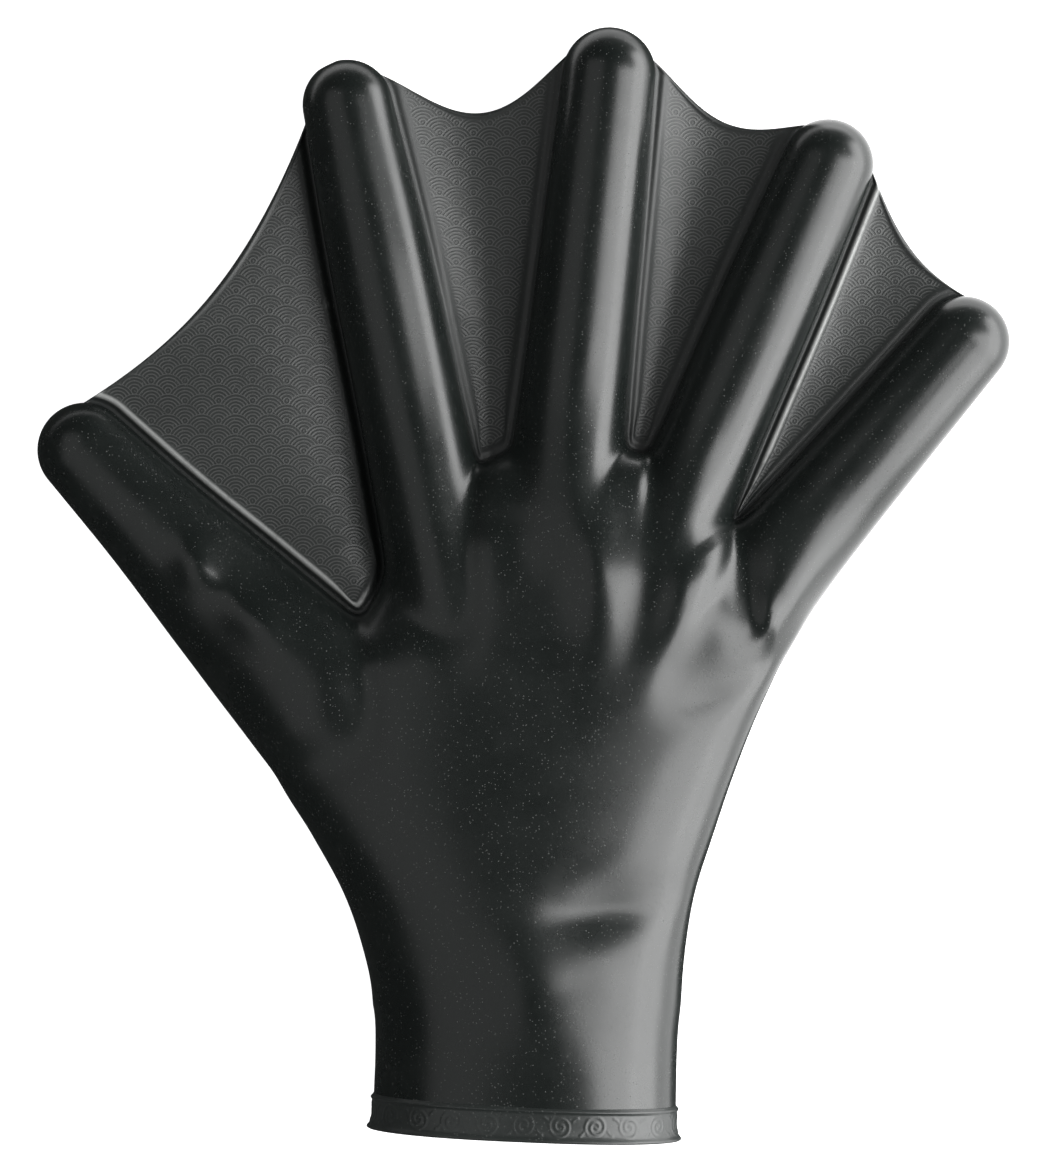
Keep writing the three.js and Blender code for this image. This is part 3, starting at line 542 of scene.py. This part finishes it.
def web_sheet(k, forks, ups, rows, columns):
    """A web's two sides over its plan. The height goes evenly from one wall to the next, less a half wave of
    sag; the upper side has the groove, the lip and the bead on it, and the wall thins to nothing in a round
    free edge. Also each point's distance from the walls and from the free edge, and how strong its lip is."""
    plan, u = web_plan(k, forks, ups, rows, columns)
    width = np.linalg.norm(plan[:, -1] - plan[:, 0], axis=-1)[:, None]
    wide = np.minimum(1, width / STALL_WIDTH)
    z_a, z_b = middle_height(plan[:, :1]), middle_height(plan[:, -1:]) - WEBS[k][8] * WEB_SAG * wide
    z = z_a + (z_b - z_a) * u - WEBS[k][7] * WEB_SAG * np.sin(np.pi * u) * wide
    wall = off_wall(plan)
    rim = np.linalg.norm(plan[-1] - plan, axis=-1)
    turn = np.clip(u * 1.6 - 0.3, 0, 1)
    strength = WEBS[k][5] + (WEBS[k][6] - WEBS[k][5]) * turn * turn * (3 - 2 * turn)
    room = np.clip(width / 12, 0, 1)
    half = WEB_WALL / 2 * np.sqrt(1 - np.maximum(1 - rim / (WEB_WALL / 2), 0) ** 2)
    lip = WEB_LIP * strength * room * hill(wall, LIP_OFF_WALL, LIP_HALF_WIDTH)
    groove = WEB_GROOVE * (0.4 + 0.6 * strength) * hill(wall, GROOVE_OFF_WALL, GROOVE_HALF_WIDTH)
    bead = RIM_BEAD * hill(rim, BEAD_OFF_RIM, BEAD_HALF_WIDTH)
    relief = (lip - groove) * np.clip(rim / 1.5, 0, 1) + bead
    high = z + half + relief
    low = z - half
    number = np.arange(z.size).reshape(z.shape)
    points = np.vstack([np.dstack([plan, high]).reshape(-1, 3), np.dstack([plan, low]).reshape(-1, 3)])
    quads = grid_faces(number)
    around = np.concatenate([number[0, :-1], number[:-1, -1], number[-1, :0:-1], number[:0:-1, 0]])
    after = np.roll(around, -1)
    sides = np.stack([after, around, around + z.size, after + z.size], axis=-1)
    faces = np.vstack([quads, quads[:, ::-1] + z.size, sides])
    fields = [np.tile(np.broadcast_to(field, z.shape).ravel(), 2) for field in (wall, rim, strength)]
    return points, faces, fields


def wave_scales(tree, where):
    """Height of overlapping wave scales. Discs lie in columns half a scale apart, and of the discs over a
    point the lowest is in front; its rings rise as the cosine of the distance from its middle."""
    split = add_node(tree, "SeparateXYZ", {"Vector": where}).outputs
    x, y = (reckon(tree, "MULTIPLY", split[axis], 1000.0) for axis in (0, 1))
    radius = SCALE_WIDTH / 2
    found = []
    for odd in (0.0, 0.5):
        across = reckon(tree, "WRAP", reckon(tree, "SUBTRACT", x, odd * SCALE_WIDTH), radius, -radius)
        square = reckon(tree, "MULTIPLY", across, across)
        left_over = reckon(tree, "SUBTRACT", radius ** 2, square)
        half = reckon(tree, "SQRT", reckon(tree, "MAXIMUM", left_over, 0.0))
        foot = reckon(tree, "SUBTRACT", reckon(tree, "SUBTRACT", y, half), odd * SCALE_PITCH)
        row = reckon(tree, "CEIL", reckon(tree, "DIVIDE", foot, SCALE_PITCH))
        off = reckon(tree, "SUBTRACT", reckon(tree, "MULTIPLY_ADD", row, SCALE_PITCH, odd * SCALE_PITCH), y)
        outside = reckon(tree, "GREATER_THAN", off, half)
        away = reckon(tree, "SQRT", reckon(tree, "MULTIPLY_ADD", off, off, square))
        found.append((reckon(tree, "MULTIPLY_ADD", outside, 1000.0, off), away))
    second = reckon(tree, "LESS_THAN", found[1][0], found[0][0])
    farther = reckon(tree, "SUBTRACT", found[1][1], found[0][1])
    away = reckon(tree, "MULTIPLY_ADD", second, farther, found[0][1])
    return reckon(tree, "COSINE", reckon(tree, "MULTIPLY", away, 2 * math.pi / RING_PITCH))


def clipped(tree, value, begin, end):
    """A share that goes from 0 where the value is at the begin to 1 at the end, smoothly."""
    ranged = {"Value": value, "From Min": begin, "From Max": end}
    return add_node(tree, "MapRange", ranged, interpolation_type="SMOOTHSTEP").outputs["Result"]


WEB_COLOUR = (0.016, 0.0185, 0.0177)
WEB_FIELDS = ("off_wall", "off_rim", "lip")
web_rubber, web_tree, web_shader, web_paint, web_bump, web_height = rubber("web_rubber", WEB_COLOUR, 0.48)
off_wall_mm, off_rim_mm, lip_share = (
    add_node(web_tree, "Attribute", {}, attribute_name=label).outputs["Fac"] for label in WEB_FIELDS)
web_where = add_node(web_tree, "TexCoord", {}).outputs["Object"]
# The scales fill the panel between the lips and the free edge, and wear unevenly
past_lip = clipped(web_tree, off_wall_mm, 2.6, 3.8)
panel = reckon(web_tree, "MULTIPLY", past_lip, clipped(web_tree, off_rim_mm, 1.2, 2.6))
wear = noise(web_tree, web_where, 130.0, 4.0, 0.7)
scales = reckon(web_tree, "MULTIPLY", wave_scales(web_tree, web_where), panel)
rings = reckon(web_tree, "MULTIPLY", scales, SCALE_RISE)
uneven_rings = reckon(web_tree, "MULTIPLY", rings, clipped(web_tree, wear, 0.0, 0.55))
web_tree.links.new(reckon(web_tree, "ADD", web_height, uneven_rings), web_bump.inputs["Height"])
# The crest of the lip is scuffed pale in patches, and the tops of the rings are painted paler as a painted
# highlight
past_groove = clipped(web_tree, off_wall_mm, 1.2, 1.9)
crest = reckon(web_tree, "MULTIPLY", past_groove, clipped(web_tree, off_wall_mm, 3.0, 2.2))
worn = clipped(web_tree, reckon(web_tree, "MULTIPLY_ADD", wear, 1.2, lip_share), 1.15, 1.6)
scuff = reckon(web_tree, "MULTIPLY", crest, worn)
# Painted highlight: the crests of the wave rings are painted paler, where they would catch the light
crest_highlight = reckon(web_tree, "MULTIPLY", reckon(web_tree, "MAXIMUM", uneven_rings, 0.0), 0.55 / SCALE_RISE)
crest_highlight_paint = blend_colours(web_tree, crest_highlight, web_paint, (0.1, 0.103, 0.1, 1))
worn_paint = blend_colours(web_tree, scuff, crest_highlight_paint, (0.25, 0.256, 0.25, 1))
web_tree.links.new(worn_paint, web_shader.inputs["Base Color"])
web_forks, web_ups = crotches(-WEB_ROOT)
for k in range(4):
    web_name = f"{DIGITS[k][0]}_{DIGITS[k + 1][0]}"
    points, faces, fields = web_sheet(k, web_forks, web_ups, 110, 80)
    web_points, web_faces, first = joined(points, faces)
    web = new_object(f"web_sheet_{web_name}", web_points, web_faces, web_rubber)
    for label, values in zip(WEB_FIELDS, fields):
        web.data.attributes.new(label, "FLOAT", "POINT").data.foreach_set("value", values[first])
    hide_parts(f"web_{web_name}")


# Cuff band
# The cuff ends in a thicker ring, bounded by a fine bead above and flared a little at the rim. A low scroll
# relief of curling waves, cast in the rubber, runs round it.
BAND_WALL = 2.1
BAND_FLARE = 0.8
# The rounded edge of the rim, outside and inside, and the flared share of the band's width
RIM_ROUND = 0.35
FLARE_REACH = 0.5
# Length of one curl's cell, its relief, and the radius where the curl ends
SCROLL_PITCH = 8.0
SCROLL_RISE = 0.1
CURL_RADIUS = 2.9
CURL_TURN = 1.25


def cuff_ring(inset, grow, angle):
    """Points round the cuff at a distance from the rim: across, the palm's oval power of the cosine, and in
    height the sine, on the skin's own half width and half depth, grown by that much."""
    y0 = -CUFF_LENGTH + inset
    along = y0 / CUFF_LENGTH
    spare = PALM_WIDTH - WRIST_WIDTH
    left = -WRIST_WIDTH / 2 - spare * through_rows(along, SECTIONS[:, 0], SECTIONS[:, 1])
    right = WRIST_WIDTH / 2 + spare * through_rows(along, SECTIONS[:, 0], SECTIONS[:, 2])
    depth = through_rows(along, SECTIONS[:, 0], SECTIONS[:, 3]) * PALM_DEPTH / 2
    c = np.cos(angle)
    x = (left + right) / 2 + ((right - left) / 2 + grow) * np.sign(c) * np.abs(c) ** (2 / PALM_ROUND)
    z = depth - SEAT_DEPTH + (depth + grow) * np.sin(angle)
    return np.stack([x, y0 - CUFF_TILT * x, z], axis=-1)


def scroll_relief(way, up):
    """Height of the curling waves at a way round the band and a height up it. Each curl is a spiral ridge:
    highest where the distance from its eye, as a share of the pitch between turns, less the angle round the
    eye, is a whole number. Long arcs join one curl to the next."""
    cell = np.floor(way / SCROLL_PITCH)
    flip = np.where(cell % 2 == 0, 1.0, -1.0)
    x = way - (cell + 0.5) * SCROLL_PITCH
    y = (up - BAND_WIDTH * 0.5) * flip
    r = np.hypot(x, y)
    turn = np.arctan2(y, x) / (2 * np.pi)
    phase = r / CURL_TURN - turn
    ridge = np.abs(phase - np.round(phase)) * CURL_TURN
    curl = hill(ridge, 0, 0.28) * np.clip((CURL_RADIUS - r) / 0.4, 0, 1)
    wave = -1.9 * np.cos(2 * np.pi * x / SCROLL_PITCH)
    arc = hill(y, wave, 0.3) * np.clip((r - CURL_RADIUS + 0.3) / 0.4, 0, 1)
    clear_of_edges = np.clip((up - 0.9) / 0.5, 0, 1) * np.clip((BAND_WIDTH - 1.3 - up) / 0.5, 0, 1)
    return (curl + arc) * clear_of_edges


def flare(inset):
    """How far the band stands out at a distance from the rim: the square of the share of the flare left."""
    return BAND_FLARE * np.clip(1 - inset / (FLARE_REACH * BAND_WIDTH), 0, 1) ** 2


# Points lie evenly along the ring rather than by angle, and a whole number of pairs of curls goes round it
around = 720
coarse_angle = np.linspace(0, 2 * np.pi, 4001)
coarse = cuff_ring(0.0, 0.0, coarse_angle)
ways = np.concatenate([[0], np.cumsum(np.linalg.norm(np.diff(coarse, axis=0), axis=1))])
girth = ways[-1]
way = girth * np.arange(around) / around
angle = np.interp(way, ways, coarse_angle)
pairs = np.round(girth / (2 * SCROLL_PITCH))
scroll_way = way / girth * pairs * 2 * SCROLL_PITCH
top = BAND_WIDTH + 0.25
outer_rings = []
for inset in [top, top - 0.2, *np.linspace(BAND_WIDTH - 0.1, 0.15, 36), 0.05, 0.0]:
    bead = hill(inset, BAND_WIDTH - 0.6, 0.35) + hill(inset, 0.5, 0.5)
    step = (BAND_WALL - SKIN_WALL) * (0.45 + 0.55 * bead) * np.clip((top - inset) / 0.5, 0, 1)
    rounding = -RIM_ROUND * np.clip(1 - inset / 0.3, 0, 1) ** 2
    relief = SCROLL_RISE * scroll_relief(scroll_way, inset)
    ring = cuff_ring(inset, flare(inset) + step + rounding + relief - 0.02, angle)
    ring[:, 2] = np.maximum(ring[:, 2], 0)
    outer_rings.append(ring)
inner_rings = []
for inset in (0.0, RIM_ROUND, 1.5, 3.6, BAND_WIDTH, top):
    rounding = RIM_ROUND * np.clip(1 - inset / RIM_ROUND, 0, 1) ** 2
    ring = cuff_ring(inset, flare(inset) - SKIN_WALL + rounding, angle)
    ring[:, 2] = np.maximum(ring[:, 2], SKIN_WALL - rounding)
    inner_rings.append(ring)
rings = np.array(outer_rings + inner_rings)
number = np.arange(rings.shape[0] * around).reshape(rings.shape[0], around)
nxt = np.roll(number, -1, axis=0)
corners = [number, np.roll(number, -1, axis=1), np.roll(nxt, -1, axis=1), nxt]
band_faces = np.stack(corners, axis=-1).reshape(-1, 4)
band_rubber = rubber("band_rubber", (0.017, 0.02, 0.019), 0.36)[0]
band_points, band_faces, _ = joined(rings.reshape(-1, 3), band_faces)
cuff_ring_piece = new_object("cuff_ring", band_points, band_faces, band_rubber)
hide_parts("cuff_band")


# Floor, lights and camera
# A plain pale floor under soft box lights on the right, which the rubber mirrors as long bands. The floor
# itself shows in no reflection: two lamps that lie on it stand for it there.
FLOOR_REACH = 3.0
floor_corners = [(x * FLOOR_REACH, y * FLOOR_REACH, 0) for x, y in ((-1, -1), (1, -1), (1, 1), (-1, 1))]
floor_mesh = bpy.data.meshes.new("floor")
floor_mesh.from_pydata(floor_corners, [], [(0, 1, 2, 3)])
floor = bpy.data.objects.new("floor", floor_mesh)
bpy.context.scene.collection.objects.link(floor)
floor_paint = bpy.data.materials.new("floor_paint")
floor_paint.use_nodes = True
floor_shader = floor_paint.node_tree.nodes["Principled BSDF"]
floor_shader.inputs["Base Color"].default_value = (0.9, 0.9, 0.9, 1)
floor_shader.inputs["Roughness"].default_value = 0.9
floor_shader.inputs["Emission Color"].default_value = (1, 1, 1, 1)
floor_shader.inputs["Emission Strength"].default_value = 0.9
floor_mesh.materials.append(floor_paint)
floor.visible_glossy = False

world = bpy.data.worlds.new("world")
bpy.context.scene.world = world
world.use_nodes = True
world.node_tree.nodes["Background"].inputs["Color"].default_value = (0.03, 0.03, 0.03, 1)
bpy.context.scene.view_settings.view_transform = "Standard"

# Name, degrees off the vertical where it begins and ends, distance, from and to along y in metres, radiance,
# and whether it shows in reflections
LIGHTS = [
    ("broad_box", 31, 62, 1.05, -0.6, 0.33, 6.8, True),
    ("upper_box", 21, 31, 1.05, 0.07, 0.33, 6.0, True),
    ("low_box", 60, 90, 1.1, -0.6, 1.0, 7.5, True),
    ("left_card", -50, -11, 1.3, -0.8, 0.8, 0.5, True),
    ("fill", -70, 0, 1.2, -0.8, 0.8, 0.6, False),
]
for name, begin, end, reach, low, high, radiance, glossy in LIGHTS:
    turns = (math.radians(begin), math.radians(end))
    ends = [Vector((math.sin(turn), 0, math.cos(turn))) * reach for turn in turns]
    light = bpy.data.lights.new(name, "AREA")
    light.shape = "RECTANGLE"
    light.size = high - low
    light.size_y = (ends[1] - ends[0]).length
    light.energy = radiance * math.pi * light.size * light.size_y
    lamp = bpy.data.objects.new(name, light)
    lamp.visible_camera = False
    lamp.visible_glossy = glossy
    upward = (ends[0] - ends[1]).normalized()
    turned = Matrix((Vector((0, 1, 0)), upward, Vector((0, 1, 0)).cross(upward))).transposed()
    place = (ends[0] + ends[1]) / 2 + Vector((0, (low + high) / 2, 0))
    lamp.matrix_world = Matrix.Translation(place) @ turned.to_4x4()
    bpy.context.scene.collection.objects.link(lamp)

# The pale table to the right of the glove and beyond its tips, as the flanks and the domes see it
for name, x, y, radiance in (("table_right", 0.56, 0.0, 2.6), ("table_beyond", 0.0, 0.73, 1.8)):
    glow = bpy.data.lights.new(name, "AREA")
    glow.shape = "RECTANGLE"
    glow.size = 1.0
    glow.size_y = 1.2
    glow.energy = radiance * math.pi * glow.size * glow.size_y
    glow_lamp = bpy.data.objects.new(name, glow)
    glow_lamp.visible_camera = False
    glow_lamp.location = (x, y, 0.002)
    glow_lamp.rotation_euler = (math.pi, 0, 0)
    bpy.context.scene.collection.objects.link(glow_lamp)

# The camera looks straight down and takes in VIEW_HEIGHT at the level of the digits' middles
DIGIT_LEVEL = 0.008
VIEW_HEIGHT = 0.25565
VIEW_DISTANCE = 1.204
SENSOR_HEIGHT = 36.0
camera_data = bpy.data.cameras.new("camera")
camera_data.sensor_fit = "VERTICAL"
camera_data.sensor_height = SENSOR_HEIGHT
camera_data.lens = SENSOR_HEIGHT * VIEW_DISTANCE / VIEW_HEIGHT
camera = bpy.data.objects.new("camera", camera_data)
camera.location = (-0.000365, -0.001458, VIEW_DISTANCE + DIGIT_LEVEL)
bpy.context.scene.collection.objects.link(camera)
bpy.context.scene.camera = camera
